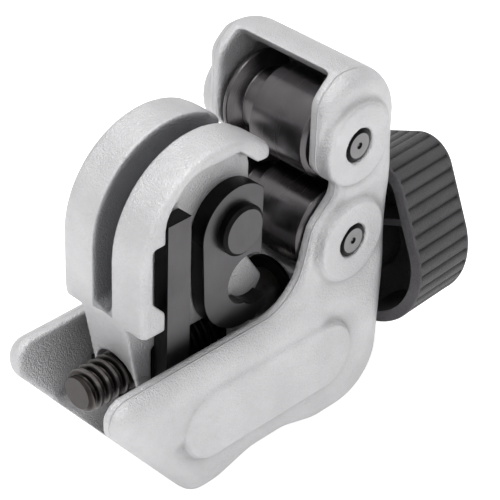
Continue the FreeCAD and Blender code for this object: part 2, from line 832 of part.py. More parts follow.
def make_arm(label, near):
    """One of the nut's two upright arms, which stand on its shoe and guide it along the slide's web."""
    arm = doc.addObject("Part::Box", label)
    arm.Label = label
    shoe_top = "slide_floor + shoe_height"
    tie(arm, Length="arm_width", Width="plate_thickness", Height="mid_height + arm_top - (%s)" % shoe_top)
    inner = "web_width / 2 + arm_clearance"
    place(arm, x="nut_x", z=shoe_top, y="-(%s + plate_thickness)" % inner if near else inner)
    return arm


def make_spring():
    """The feed spring, coiled round the screw between the nut and the slide's foot."""
    coil_radius = size("spring_coil_radius")
    wire = size("spring_wire")
    length = size("spring_length") - wire
    turns = size("spring_turns")
    spine = Part.makeHelix(length / turns, length, coil_radius)
    start = Vector(coil_radius, 0, 0)
    pitch_angle = math.atan2(length / turns, 2 * math.pi * coil_radius)
    heading = Vector(0, math.cos(pitch_angle), math.sin(pitch_angle))
    section = Part.Wire([Part.makeCircle(wire / 2, start, heading)])
    coil = Part.Wire(spine.Edges).makePipeShell([section], True, True)
    coil.rotate(Vector(0, 0, 0), Vector(0, 1, 0), 90)
    spring = doc.addObject("Part::Feature", "feed_spring")
    spring.Label = "feed_spring"
    spring.Shape = coil
    place(spring, x="nut_x + nut_length + spring_wire / 2", z="screw_height")
    return spring


# ---------------------------------------------------------------- feed screw and knob

def make_screw():
    """The feed screw, with its tip towards the slide and its tail seated in the knob."""
    ring_x = "block_x - ring_gap - ring_thickness"
    tail_x = "knob_front + screw_in_knob"
    return turned_on_screw("feed_screw", [
        ("screw_front", "0"),
        ("screw_front", "screw_radius - screw_chamfer"),
        ("screw_front + screw_chamfer", "screw_radius"),
        (ring_x + " - ring_gap", "screw_radius"),
        (ring_x + " - ring_gap", "ring_groove_radius"),
        ("block_x", "ring_groove_radius"),
        ("block_x", "screw_radius"),
        (tail_x, "screw_radius"),
        (tail_x, "knob_screw_radius"),
        (tail_x + " - knob_screw_length", "knob_screw_radius"),
        (tail_x + " - knob_screw_length", "0"),
    ])


def make_ring(label, start, thickness, inner, outer):
    end = "%s + %s" % (start, thickness)
    return turned_on_screw(label, [(start, inner), (start, outer), (end, outer), (end, inner)])


def make_knob_screw():
    tail_x = "knob_front + screw_in_knob"
    head_x = "knob_back - knob_back_recess"
    return turned_on_screw("knob_screw", [
        (tail_x + " - knob_screw_length", "0"),
        (tail_x + " - knob_screw_length", "knob_screw_radius"),
        (head_x, "knob_screw_radius"),
        (head_x, "knob_screw_head_radius"),
        (head_x + " + knob_screw_head", "knob_screw_head_radius"),
        (head_x + " + knob_screw_head", "0"),
    ])


def half_turn(points):
    """Points and the same again after half a turn about the origin."""
    return points + [("-(%s)" % across, "-(%s)" % up) for across, up in points]


def round_wings(body, base, sketch):
    """Rounds the edges that run back from the corners of the knob's front outline."""
    radii = ["knob_corner_round", "knob_lobe_round", "knob_step_round", "knob_step_round"]
    for index, radius in enumerate(radii * 2):
        corner = sketch.Placement.multVec(sketch.Geometry[index].StartPoint)
        edges = []
        for number, edge in enumerate(base.Shape.Edges, start=1):
            near = min(vertex.Point.distanceToPoint(corner) for vertex in edge.Vertexes)
            if near < 1e-4 and edge.BoundBox.XLength > 1e-4:
                edges.append("Edge%d" % number)
        base = fillet(body, "%s_corner_%d" % (sketch.Name, index), base, edges, radius)
    return base


def make_knob():
    """The moulded knob: two hollow wings, the same after half a turn, on a hub that is webbed to each."""
    body = new_body("knob")

    def pad(name, sketch, length):
        feature = body.newObject("PartDesign::Pad", name)
        feature.Profile = sketch
        feature.setExpression("Length", bound(length))
        doc.recompute()
        return feature

    face = new_sketch(body, "YZ_Plane", "knob_face")
    polygon(face, half_turn([
        ("-knob_half_width", "knob_wing_height"),
        ("-knob_half_width", "-knob_waist_height"),
        ("-knob_step_width", "-knob_waist_height"),
        ("knob_step_width", "-knob_wing_height"),
    ]))
    pad("knob_block", face, "knob_length")
    taper = new_sketch(body, "XY_Plane", "wing_taper")
    for side in ("-", ""):
        polygon(taper, [(along, "%s(%s)" % (side, across)) for along, across in (
            ("0", "knob_half_width"),
            ("knob_length", "knob_half_width - knob_draft"),
            ("knob_length", "2 * knob_half_width"),
            ("0", "2 * knob_half_width"))])
    base = round_wings(body, extrude(body, "Pocket", "wing_draft", taper, "4 * knob_wing_height"), face)
    rims = []
    for number, edge in enumerate(base.Shape.Edges, start=1):
        if edge.BoundBox.XLength < 1e-5:
            rims.append("Edge%d" % number)
    chamfer(body, "knob_rims", base, rims, "knob_chamfer")

    hollow = new_sketch(body, "YZ_Plane", "hollow_face")
    polygon(hollow, half_turn([
        ("-(knob_half_width - knob_wall)", "knob_wing_height - knob_corner_round"),
        ("-(knob_half_width - knob_wall)", "-(knob_waist_height - knob_lobe_round)"),
        ("-(knob_half_width - knob_lobe_round)", "-(knob_waist_height - knob_wall)"),
        ("-knob_step_width", "-(knob_waist_height - knob_wall)"),
        ("knob_step_width", "-(knob_wing_height - knob_wall)"),
        ("knob_half_width - knob_corner_round", "-(knob_wing_height - knob_wall)"),
    ]))
    extrude(body, "Pocket", "hollow", hollow, "2 * knob_hollow")
    for name, height, turn, radius in (
            ("corner_hollow", "knob_wing_height", "", "knob_corner_round"),
            ("lobe_hollow", "knob_waist_height", "-", "knob_lobe_round")):
        rounds = new_sketch(body, "YZ_Plane", name + "_face")
        centre = ("-(knob_half_width - %s)" % radius, "%s(%s - %s)" % (turn, height, radius))
        for across, up in half_turn([centre]):
            circle(rounds, across, up, radius + " - knob_wall")
        extrude(body, "Pocket", name, rounds, "2 * knob_hollow")

    hub = new_sketch(body, "YZ_Plane", "hub_face")
    circle(hub, "0", "0", "knob_hub_radius")
    pad("hub", hub, "knob_length - knob_back_recess")
    webs = new_sketch(body, "YZ_Plane", "web_ends")
    webs.setExpression("AttachmentOffset.Base.z", bound("knob_web_drop"))
    web_end = "knob_half_width - knob_wall / 2"
    for side in ("-", ""):
        polygon(webs, [("%s(%s)" % (side, across), "%s(%s)" % (side, up)) for across, up in (
            ("knob_hub_radius / 2", "-knob_web_height - knob_web / 2"),
            (web_end, "-knob_web_height - knob_web / 2"),
            (web_end, "-knob_web_height + knob_web / 2"),
            ("knob_hub_radius / 2", "-knob_web_height + knob_web / 2"))])
    pad("webs", webs, "knob_hollow + knob_chamfer - knob_web_drop")
    for name, start, depth, radius in (
            ("screw_socket", "0", "screw_in_knob", "screw_radius"),
            ("knob_screw_hole", "0", "knob_length", "knob_screw_radius + screw_clearance"),
            ("knob_screw_seat", "knob_length", "knob_back_recess", "knob_back_recess_radius")):
        end = new_sketch(body, "YZ_Plane", name + "_end")
        end.setExpression("AttachmentOffset.Base.z", bound(start))
        circle(end, "0", "0", radius)
        extrude(body, "Pocket", name, end, "2 * (%s)" % depth)
    body.Placement.Rotation = FreeCAD.Rotation(Vector(1, 0, 0), -1)
    body.setExpression("Placement.Rotation.Angle", bound("-knob_turn"))
    place(body, x="knob_front", z="screw_height")
    return body


# ---------------------------------------------------------------- assembly

PIECES = [
    make_housing(),
    make_roller_pin("roller_pin_upper", "upper_z"),
    make_roller_pin("roller_pin_lower", "lower_z"),
    make_ring("thrust_washer", "back_x", "washer_thickness", "screw_radius + washer_clearance",
              "washer_radius"),
    make_roller("roller_upper", "upper_z"),
    make_roller("roller_lower", "lower_z"),
    make_slide(),
    make_side_plate("side_plate_near", True),
    make_side_plate("side_plate_far", False),
    make_wheel_pin(),
    make_pin_clip(),
    make_wheel(),
    make_nut(),
    make_arm("nut_arm_near", True),
    make_arm("nut_arm_far", False),
    make_ring("spring_seat", "seat_x", "seat_washer", "saddle_radius", "seat_radius"),
    make_spring(),
    make_screw(),
    make_ring("retaining_ring", "block_x - ring_gap - ring_thickness", "ring_thickness",
              "ring_groove_radius + pin_clearance", "ring_radius"),
    make_knob(),
    make_knob_screw(),
]
doc.recompute()

for item in doc.Objects:
    if "Invalid" in item.State or "Error" in item.State:
        raise RuntimeError("%s did not compute: %s" % (item.Name, item.State))

for piece in PIECES:
    if piece.Shape.isNull() or not piece.Shape.isValid() or not piece.Shape.Solids:
        raise RuntimeError("%s has no valid solid" % piece.Label)

os.makedirs("parts", exist_ok=True)
for piece in PIECES:
    shape = piece.Shape
    shape.exportStep("parts/%s.step" % piece.Label)
    print("%-18s %d solid %9.1f mm3  %s" % (piece.Label, len(shape.Solids), shape.Volume, shape.BoundBox))
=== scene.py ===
"""Looks for a close-quarters tubing cutter with a spring-fed wheel.

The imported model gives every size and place. Cast, turned and moulded pieces are dressed or rebuilt here.
Frame: +X along the feed screw towards the knob, +Z up through both rollers, Y across the tool, in metres.
"""
import json
import math

import bmesh
import bpy
from mathutils import Matrix, Vector


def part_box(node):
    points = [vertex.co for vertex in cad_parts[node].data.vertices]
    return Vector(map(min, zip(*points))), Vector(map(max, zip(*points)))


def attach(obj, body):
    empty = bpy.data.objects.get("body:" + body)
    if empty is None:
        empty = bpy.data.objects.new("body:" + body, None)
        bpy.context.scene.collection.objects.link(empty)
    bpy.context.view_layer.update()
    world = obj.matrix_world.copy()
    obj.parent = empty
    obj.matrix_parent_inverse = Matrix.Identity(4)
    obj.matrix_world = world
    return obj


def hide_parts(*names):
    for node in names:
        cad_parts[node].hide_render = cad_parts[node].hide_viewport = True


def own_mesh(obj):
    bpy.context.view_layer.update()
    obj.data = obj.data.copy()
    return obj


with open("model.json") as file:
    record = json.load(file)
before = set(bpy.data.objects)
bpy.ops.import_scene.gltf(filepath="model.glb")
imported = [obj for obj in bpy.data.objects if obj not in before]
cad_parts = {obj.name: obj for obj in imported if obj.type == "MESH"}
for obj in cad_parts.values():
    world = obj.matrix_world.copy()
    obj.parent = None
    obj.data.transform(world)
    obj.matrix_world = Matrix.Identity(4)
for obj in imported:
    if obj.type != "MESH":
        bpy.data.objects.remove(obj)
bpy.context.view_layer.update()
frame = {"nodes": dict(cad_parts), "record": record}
MM = 0.001


# ---------------------------------------------------------------- shader helpers

def add(tree, kind, links=None, **values):
    """Adds a node, sets its properties or sockets by name, and links sockets to other nodes' outputs."""
    node = tree.nodes.new("ShaderNode" + kind)
    for name, value in values.items():
        if hasattr(node, name):
            setattr(node, name, value)
        else:
            node.inputs[name.replace("_", " ")].default_value = value
    for socket, source in (links or {}).items():
        tree.links.new(source, node.inputs[socket])
    return node


def new_group(name, inputs, outputs):
    group = bpy.data.node_groups.new(name, "ShaderNodeTree")
    for label, kind, value in inputs:
        socket = group.interface.new_socket(label, in_out="INPUT", socket_type="NodeSocket" + kind)
        if value is not None:
            socket.default_value = value
    for label, kind in outputs:
        group.interface.new_socket(label, in_out="OUTPUT", socket_type="NodeSocket" + kind)
    return group, group.nodes.new("NodeGroupInput"), group.nodes.new("NodeGroupOutput")


def new_material(name, colour, metallic, roughness):
    material = bpy.data.materials.new(name)
    material.use_nodes = True
    shader = material.node_tree.nodes["Principled BSDF"]
    shader.inputs["Base Color"].default_value = (*colour, 1.0)
    shader.inputs["Metallic"].default_value = metallic
    shader.inputs["Roughness"].default_value = roughness
    return material, material.node_tree, shader


def place_group(tree, group, coordinates, **values):
    node = tree.nodes.new("ShaderNodeGroup")
    node.node_tree = group
    tree.links.new(coordinates, node.inputs["Vector"])
    for name, value in values.items():
        node.inputs[name.replace("_", " ")].default_value = value
    return node


def tone_colour(tree, tone, dark, light, low=0.3, high=0.7):
    """A colour that drifts between two close shades."""
    ramp = add(tree, "MapRange", {"Value": tone}, From_Min=low, From_Max=high)
    mix = add(tree, "Mix", {"Factor": ramp.outputs["Result"]}, data_type="RGBA")
    mix.inputs[6].default_value = (*dark, 1.0)
    mix.inputs[7].default_value = (*light, 1.0)
    return mix.outputs[2]


def worked_surface(tree, shader, height, low, high, strength, distance):
    """Drives a material's roughness, between low and high, and its fine relief from one height."""
    rough = add(tree, "MapRange", {"Value": height}, From_Min=0.3, From_Max=0.7, To_Min=low, To_Max=high)
    tree.links.new(rough.outputs["Result"], shader.inputs["Roughness"])
    bump = add(tree, "Bump", {"Height": height}, Strength=strength, Distance=distance)
    tree.links.new(bump.outputs["Normal"], shader.inputs["Normal"])
    return bump.outputs["Normal"]


def painted_shade_and_highlight(tree, colour, flat, ridge, dark, light):
    """Painted shade and highlight: a colour made darker in hollows and lighter on ridges, by how far the
    surface bulges.
    """
    bulge = add(tree, "NewGeometry").outputs["Pointiness"]
    share = add(tree, "MapRange", {"Value": bulge}, From_Min=flat, From_Max=ridge, To_Min=dark, To_Max=light)
    scaled = add(tree, "VectorMath", {0: colour, "Scale": share.outputs["Result"]}, operation="SCALE")
    return scaled.outputs["Vector"]


# ---------------------------------------------------------------- camera, lights, floor

def aim(thing, place, target, roll=0.0):
    """Puts a camera or lamp at a place, looking at a target, turned by roll about its line of sight."""
    look = (Vector(target) - Vector(place)).to_track_quat("-Z", "Y").to_matrix().to_4x4()
    thing.matrix_world = Matrix.Translation(place) @ look @ Matrix.Rotation(roll, 4, "Z")


def make_camera():
    camera = bpy.data.objects.new("camera", bpy.data.cameras.new("camera"))
    bpy.context.scene.collection.objects.link(camera)
    camera.data.lens = 157.0
    camera.data.sensor_width = 36.0
    camera.data.clip_start = 0.01
    camera.data.clip_end = 20.0
    aim(camera, (-0.1859, -0.17855, 0.20405), (-0.0027, -0.0054, 0.0324), math.radians(2.09))
    bpy.context.scene.camera = camera


def make_lamp(name, place, target, width, height, power):
    lamp = bpy.data.objects.new(name, bpy.data.lights.new(name, "AREA"))
    bpy.context.scene.collection.objects.link(lamp)
    lamp.data.shape = "RECTANGLE"
    lamp.data.size = width
    lamp.data.size_y = height
    lamp.data.energy = power
    aim(lamp, place, target)


def make_lights():
    middle = (0.0, 0.0, 0.03)
    make_lamp("front_softbox", (-0.55, -0.05, 0.32), middle, 0.5, 0.5, 0.15)
    make_lamp("rear_softbox", (0.36, -0.30, 0.30), middle, 0.3, 0.3, 0.3)
    make_lamp("side_softbox", (-0.05, -0.60, 0.30), middle, 0.6, 0.45, 0.3)
    make_lamp("top_strip", (-0.10, 0.05, 0.62), middle, 0.35, 0.35, 1.35)


DARK_SIDE = (0.62, -0.66, 0.42)


def make_world():
    """A light tent: white above, greyer towards the floor, and open on one side."""
    world = bpy.data.worlds.new("studio")
    bpy.context.scene.world = world
    world.use_nodes = True
    tree = world.node_tree
    tree.nodes.clear()
    towards = add(tree, "TexCoord").outputs["Generated"]
    height = add(tree, "SeparateXYZ", {"Vector": towards}).outputs["Z"]
    tent = add(tree, "MapRange", {"Value": height}, From_Min=-0.10, From_Max=0.60, To_Min=0.40, To_Max=1.0)
    side = add(tree, "VectorMath", {0: towards}, operation="DOT_PRODUCT")
    side.inputs[1].default_value = DARK_SIDE
    gap = add(tree, "MapRange", {"Value": side.outputs["Value"]}, interpolation_type="SMOOTHSTEP",
              From_Min=0.70, From_Max=0.96, To_Min=1.0, To_Max=0.35)
    shade = add(tree, "Math", {0: tent.outputs["Result"], 1: gap.outputs["Result"]}, operation="MULTIPLY")
    room = add(tree, "Background", {"Color": shade.outputs["Value"]}, Strength=0.95)
    plain = add(tree, "Background", Color=(1.0, 1.0, 1.0, 1.0), Strength=1.0)
    path = add(tree, "LightPath")
    mix = add(tree, "MixShader", {"Fac": path.outputs["Is Camera Ray"], 1: room.outputs["Background"],
                                  2: plain.outputs["Background"]})
    add(tree, "OutputWorld", {"Surface": mix.outputs["Shader"]})


def make_floor():
    """A white sheet under the tool. It glows a little, so that it runs into the background unseen."""
    mesh = bpy.data.meshes.new("floor")
    shape = bmesh.new()
    bmesh.ops.create_grid(shape, x_segments=1, y_segments=1, size=3.0)
    shape.to_mesh(mesh)
    shape.free()
    floor = bpy.data.objects.new("floor", mesh)
    bpy.context.scene.collection.objects.link(floor)
    floor.location.z = -0.1 * MM
    material, tree, shader = new_material("floor_white", (0.9, 0.9, 0.9), 0.0, 0.9)
    path = add(tree, "LightPath")
    seen = add(tree, "Math", {0: path.outputs["Is Camera Ray"]}, operation="MULTIPLY")
    seen.inputs[1].default_value = 0.75
    glow = add(tree, "Math", {0: path.outputs["Is Glossy Ray"], 2: seen.outputs["Value"]},
               operation="MULTIPLY_ADD")
    glow.inputs[1].default_value = 0.18
    shader.inputs["Emission Color"].default_value = (1.0, 1.0, 1.0, 1.0)
    tree.links.new(glow.outputs["Value"], shader.inputs["Emission Strength"])
    mesh.materials.append(material)


# ---------------------------------------------------------------- shader node groups

def make_grain_group():
    """Fine relief and a slow change of tone, for cast, coated and moulded surfaces."""
    group, given, result = new_group("surface_grain", [
        ("Vector", "Vector", None),
        ("Grain per metre", "Float", 3000.0),
        ("Coarse per metre", "Float", 700.0),
        ("Coarse share", "Float", 0.5),
        ("Tone per metre", "Float", 120.0),
    ], [("Height", "Float"), ("Tone", "Float")])
    at = given.outputs["Vector"]
    fine = add(group, "TexNoise", {"Vector": at, "Scale": given.outputs["Grain per metre"]},
               Detail=2.0, Roughness=0.6)
    coarse = add(group, "TexNoise", {"Vector": at, "Scale": given.outputs["Coarse per metre"]},
                 Detail=3.0, Roughness=0.55)
    blend = add(group, "Mix", {"Factor": given.outputs["Coarse share"], "A": fine.outputs["Fac"],
                               "B": coarse.outputs["Fac"]})
    tone = add(group, "TexNoise", {"Vector": at, "Scale": given.outputs["Tone per metre"]},
               Detail=4.0, Roughness=0.6)
    group.links.new(blend.outputs["Result"], result.inputs["Height"])
    group.links.new(tone.outputs["Fac"], result.inputs["Tone"])
    return group


def make_tool_mark_group():
    """Fine parallel marks of turning or grinding, along the two axes that are not stretched."""
    group, given, result = new_group("tool_marks", [
        ("Vector", "Vector", None),
        ("Stretch", "Vector", (1.0, 1.0, 1.0)),
        ("Marks per metre", "Float", 6000.0),
    ], [("Height", "Float"), ("Tone", "Float")])
    at = given.outputs["Vector"]
    turned = add(group, "Mapping", {"Vector": at, "Scale": given.outputs["Stretch"]}).outputs["Vector"]
    marks = add(group, "TexNoise", {"Vector": turned, "Scale": given.outputs["Marks per metre"]},
                Detail=3.0, Roughness=0.65)
    slow = add(group, "TexNoise", {"Vector": at}, Scale=160.0, Detail=3.0, Roughness=0.6)
    group.links.new(marks.outputs["Fac"], result.inputs["Height"])
    group.links.new(slow.outputs["Fac"], result.inputs["Tone"])
    return group


GRAIN = make_grain_group()
TOOL_MARKS = make_tool_mark_group()


def make_parting_line_group():
    """A fine raised line where the halves of a mould met, at a distance to each side of the middle plane."""
    group, given, result = new_group("parting_line", [
        ("Vector", "Vector", None),
        ("Distance", "Float", 0.0094),
        ("Half width", "Float", 0.00014),
    ], [("Height", "Float")])
    split = add(group, "SeparateXYZ", {"Vector": given.outputs["Vector"]})
    side = add(group, "Math", {0: split.outputs["Y"]}, operation="ABSOLUTE")
    away = add(group, "Math", {0: side.outputs["Value"], 1: given.outputs["Distance"]}, operation="SUBTRACT")
    gap = add(group, "Math", {0: away.outputs["Value"]}, operation="ABSOLUTE")
    share = add(group, "Math", {0: gap.outputs["Value"], 1: given.outputs["Half width"]}, operation="DIVIDE")
    height = add(group, "MapRange", {"Value": share.outputs["Value"]}, interpolation_type="SMOOTHSTEP",
                 From_Min=0.0, From_Max=1.0, To_Min=1.0, To_Max=0.0)
    group.links.new(height.outputs["Result"], result.inputs["Height"])
    return group


PARTING_LINE = make_parting_line_group()


def make_slot_wall_group():
    """Tells the walls of a slot on the middle plane from the rest of a casting: 1 inside."""
    group, given, result = new_group("slot_walls", [
        ("Vector", "Vector", None),
        ("Inner", "Float", 0.0018),
        ("Outer", "Float", 0.0021),
        ("Floor height", "Float", 0.0302),
    ], [("Inside", "Float")])
    split = add(group, "SeparateXYZ", {"Vector": given.outputs["Vector"]})
    side = add(group, "Math", {0: split.outputs["Y"]}, operation="ABSOLUTE")
    inside = add(group, "MapRange", {"Value": side.outputs["Value"], "From Min": given.outputs["Inner"],
                                     "From Max": given.outputs["Outer"]}, interpolation_type="SMOOTHSTEP",
                 To_Min=1.0, To_Max=0.0)
    above = add(group, "Math", {0: split.outputs["Z"], 1: given.outputs["Floor height"]},
                operation="GREATER_THAN")
    both = add(group, "Math", {0: inside.outputs["Result"], 1: above.outputs["Value"]}, operation="MULTIPLY")
    group.links.new(both.outputs["Value"], result.inputs["Inside"])
    return group


SLOT_WALLS = make_slot_wall_group()


def cast_alloy(name, parting=None, slotted=False):
    """Tumbled die-cast aluminium, finely pebbled, with painted shade in its hollows and, on a slotted
    casting, painted shade on the slot's walls. Parting is how far from the middle its mould line lies.
    """
    material, tree, shader = new_material(name, (0.68, 0.68, 0.69), 0.94, 0.5)
    at = add(tree, "TexCoord").outputs["Object"]
    grain = place_group(tree, GRAIN, at, Grain_per_metre=5600.0, Coarse_per_metre=2900.0, Coarse_share=0.5,
                        Tone_per_metre=110.0)
    colour = tone_colour(tree, grain.outputs["Tone"], (0.605, 0.60, 0.612), (0.705, 0.70, 0.712))
    if slotted:
        # Painted shade: the walls of the slot on the middle plane are darkened to a mid grey.
        inside = place_group(tree, SLOT_WALLS, at).outputs["Inside"]
        slot_shade = add(tree, "Mix", {"Factor": inside, 6: colour}, data_type="RGBA")
        slot_shade.inputs[7].default_value = (0.36, 0.36, 0.375, 1.0)
        colour = slot_shade.outputs[2]
    # Painted shade: the colour is darkened to half in the hollows and creases of the casting.
    tree.links.new(painted_shade_and_highlight(tree, colour, 0.44, 0.5, 0.5, 1.0), shader.inputs["Base Color"])
    pebbled = worked_surface(tree, shader, grain.outputs["Height"], 0.36, 0.56, 1.0, 0.3 * MM)
    if parting:
        line = place_group(tree, PARTING_LINE, at, Distance=parting)
        raised = add(tree, "Bump", {"Height": line.outputs["Height"], "Normal": pebbled},
                     Strength=1.0, Distance=0.12 * MM)
        tree.links.new(raised.outputs["Normal"], shader.inputs["Normal"])
    return material


def make_axis_face_group():
    """Tells the flat faces that look along an axis from the rims around them: 1 on a face, 0 on a rim."""
    group, given, result = new_group("axis_faces", [
        ("Normal", "Vector", None),
        ("Axis", "Vector", (0.0, 1.0, 0.0)),
    ], [("Face", "Float")])
    along = add(group, "VectorMath", {0: given.outputs["Normal"], 1: given.outputs["Axis"]},
                operation="DOT_PRODUCT")
    size = add(group, "Math", {0: along.outputs["Value"]}, operation="ABSOLUTE")
    face = add(group, "MapRange", {"Value": size.outputs["Value"]}, interpolation_type="SMOOTHSTEP",
               From_Min=0.93, From_Max=0.995)
    group.links.new(face.outputs["Result"], result.inputs["Face"])
    return group


def place_faces(tree, place, axis=(0.0, 1.0, 0.0)):
    node = tree.nodes.new("ShaderNodeGroup")
    node.node_tree = AXIS_FACES
    tree.links.new(place.outputs["Normal"], node.inputs["Normal"])
    node.inputs["Axis"].default_value = axis
    return node.outputs["Face"]


AXIS_FACES = make_axis_face_group()


def black_plate(name, face, rim):
    """Blackened sheet steel: faces ground to a soft sheen, and rims given a near-black painted shade."""
    material, tree, shader = new_material(name, face, 1.0, 0.34)
    place = add(tree, "TexCoord")
    work = place_group(tree, TOOL_MARKS, place.outputs["Object"], Stretch=(1.0, 1.0, 0.12),
                       Marks_per_metre=4200.0)
    shade = tone_colour(tree, work.outputs["Tone"], tuple(0.9 * part for part in face),
                        tuple(1.1 * part for part in face))
    # Painted shade: every surface that does not look along the axis takes the near-black rim colour.
    mix = add(tree, "Mix", {"Factor": place_faces(tree, place), 7: shade}, data_type="RGBA")
    mix.inputs[6].default_value = (*rim, 1.0)
    tree.links.new(mix.outputs[2], shader.inputs["Base Color"])
    worked_surface(tree, shader, work.outputs["Height"], 0.28, 0.42, 0.5, 0.006 * MM)
    return material


def black_oxide(name, colour, roughness, stretch, marks, depth):
    """Blackened steel with the marks of its grinding or turning showing through."""
    material, tree, shader = new_material(name, colour, 1.0, roughness)
    at = add(tree, "TexCoord").outputs["Object"]
    work = place_group(tree, TOOL_MARKS, at, Stretch=stretch, Marks_per_metre=marks)
    dark = tuple(0.82 * part for part in colour)
    light = tuple(1.15 * part for part in colour)
    tree.links.new(tone_colour(tree, work.outputs["Tone"], dark, light), shader.inputs["Base Color"])
    worked_surface(tree, shader, work.outputs["Height"], roughness * 0.9, roughness * 1.12, 0.6, depth)
    return material


def make_worn_crest_group():
    """Tells the crests of a thread along X from its roots: 0 at the low radius, 1 at the high one."""
    group, given, result = new_group("worn_crests", [
        ("Vector", "Vector", None),
        ("Axis height", "Float", 0.01875),
        ("Low radius", "Float", 0.0027),
        ("High radius", "Float", 0.0032),
    ], [("Worn", "Float")])
    split = add(group, "SeparateXYZ", {"Vector": given.outputs["Vector"]})
    rise = add(group, "Math", {0: split.outputs["Z"], 1: given.outputs["Axis height"]},
               operation="SUBTRACT")
    across = add(group, "CombineXYZ", {"X": rise.outputs["Value"], "Y": split.outputs["Y"]})
    radius = add(group, "VectorMath", {0: across.outputs["Vector"]}, operation="LENGTH")
    worn = add(group, "MapRange", {"Value": radius.outputs["Value"], "From Min": given.outputs["Low radius"],
                                   "From Max": given.outputs["High radius"]},
               interpolation_type="SMOOTHSTEP")
    group.links.new(worn.outputs["Result"], result.inputs["Worn"])
    return group


WORN_CRESTS = make_worn_crest_group()


def worn_screw(name, root, crest):
    """Blackened, oiled thread with its crests rubbed lighter."""
    material, tree, shader = new_material(name, root, 1.0, 0.34)
    place = add(tree, "TexCoord")
    at = place.outputs["Object"]
    work = place_group(tree, TOOL_MARKS, at, Stretch=(1.0, 0.3, 0.3), Marks_per_metre=2600.0)
    worn = place_group(tree, WORN_CRESTS, at)
    end = add(tree, "Math", {0: place_faces(tree, place, (1.0, 0.0, 0.0))}, operation="MULTIPLY")
    end.inputs[1].default_value = 0.35
    rubbed = add(tree, "Math", {0: worn.outputs["Worn"], 1: end.outputs["Value"]}, operation="MAXIMUM")
    mix = add(tree, "Mix", {"Factor": rubbed.outputs["Value"]}, data_type="RGBA")
    mix.inputs[6].default_value = (*root, 1.0)
    mix.inputs[7].default_value = (*crest, 1.0)
    tree.links.new(mix.outputs[2], shader.inputs["Base Color"])
    worked_surface(tree, shader, work.outputs["Height"], 0.26, 0.44, 0.6, 0.012 * MM)
    return material


def knob_plastic():
    """Charcoal nylon with a fine moulded grain, with painted shade in its creases and a painted highlight on
    its rib crests.
    """
    material, tree, shader = new_material("knob_plastic", (0.035, 0.035, 0.038), 0.0, 0.48)
    shader.inputs["Specular IOR Level"].default_value = 0.75
    at = add(tree, "TexCoord").outputs["Object"]
    grain = place_group(tree, GRAIN, at, Grain_per_metre=5200.0, Coarse_per_metre=2200.0, Coarse_share=0.35,
                        Tone_per_metre=160.0)
    colour = tone_colour(tree, grain.outputs["Tone"], (0.029, 0.027, 0.03), (0.05, 0.047, 0.051))
    # Painted shade and highlight: creases are darkened and crests made up to 1.9 times lighter.
    tree.links.new(painted_shade_and_highlight(tree, colour, 0.485, 0.56, 0.4, 1.9), shader.inputs["Base Color"])
    worked_surface(tree, shader, grain.outputs["Height"], 0.36, 0.6, 1.0, 0.4 * MM)
    return material


# ---------------------------------------------------------------- mesh helpers

def finish_piece(name, shape, body, material, replaced=(), angle=35.0):
    """Turns a bmesh into a smooth-shaded piece that rides on a body."""
    mesh = bpy.data.meshes.new(name)
    shape.to_mesh(mesh)
    shape.free()
    piece = bpy.data.objects.new(name, mesh)
    bpy.context.scene.collection.objects.link(piece)
    mesh.shade_smooth()
    mesh.set_sharp_from_angle(angle=math.radians(angle))
    mesh.materials.append(material)
    weighted = piece.modifiers.new("weighted_normals", "WEIGHTED_NORMAL")
    weighted.keep_sharp = True
    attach(piece, body)
    if replaced:
        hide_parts(*replaced)
    return piece


def merged_copy(node):
    shape = bmesh.new()
    shape.from_mesh(frame["nodes"][node].data)
    bmesh.ops.remove_doubles(shape, verts=shape.verts, dist=1e-6)
    return shape


BODY_OF = {node: body for body, nodes in frame["record"]["behaviour"]["bodies"].items() for node in nodes}


def rebuild(node, shape, material, angle=35.0):
    """A shape made here, standing in for a CAD node."""
    bmesh.ops.recalc_face_normals(shape, faces=shape.faces)
    return finish_piece(node + "_made", shape, BODY_OF[node], material, [node], angle)


def smooth(shape, verts, passes):
    for _ in range(passes):
        bmesh.ops.smooth_vert(shape, verts=verts, factor=0.5, use_axis_x=True, use_axis_y=True,
                              use_axis_z=True)


def even_copy(node, voxel, passes):
    """A copy of a casting with every edge and corner worn round: meshed evenly, then smoothed."""
    mesh = bpy.data.meshes.new(node + "_even")
    source = merged_copy(node)
    source.to_mesh(mesh)
    source.free()
    piece = bpy.data.objects.new(node + "_even", mesh)
    bpy.context.scene.collection.objects.link(piece)
    remesh = piece.modifiers.new("even", "REMESH")
    remesh.mode = "VOXEL"
    remesh.voxel_size = voxel
    even = bpy.data.meshes.new_from_object(piece.evaluated_get(bpy.context.evaluated_depsgraph_get()))
    bpy.data.objects.remove(piece)
    shape = bmesh.new()
    shape.from_mesh(even)
    smooth(shape, shape.verts, passes)
    return shape


def spin_round(stations, steps=96):
    """A body turned about X through (along, radius) stations. A run off the axis closes on itself."""
    shape = bmesh.new()
    points = [shape.verts.new((along, 0.0, radius)) for along, radius in stations]
    pairs = list(zip(points, points[1:]))
    if stations[0][1] > 0.0:
        pairs.append((points[-1], points[0]))
    edges = [shape.edges.new(pair) for pair in pairs]
    bmesh.ops.spin(shape, geom=points + edges, cent=(0, 0, 0), axis=(1, 0, 0), angle=math.tau, steps=steps,
                   use_merge=True, use_duplicate=False)
    bmesh.ops.remove_doubles(shape, verts=shape.verts, dist=1e-7)
    bmesh.ops.recalc_face_normals(shape, faces=shape.faces)
    return shape


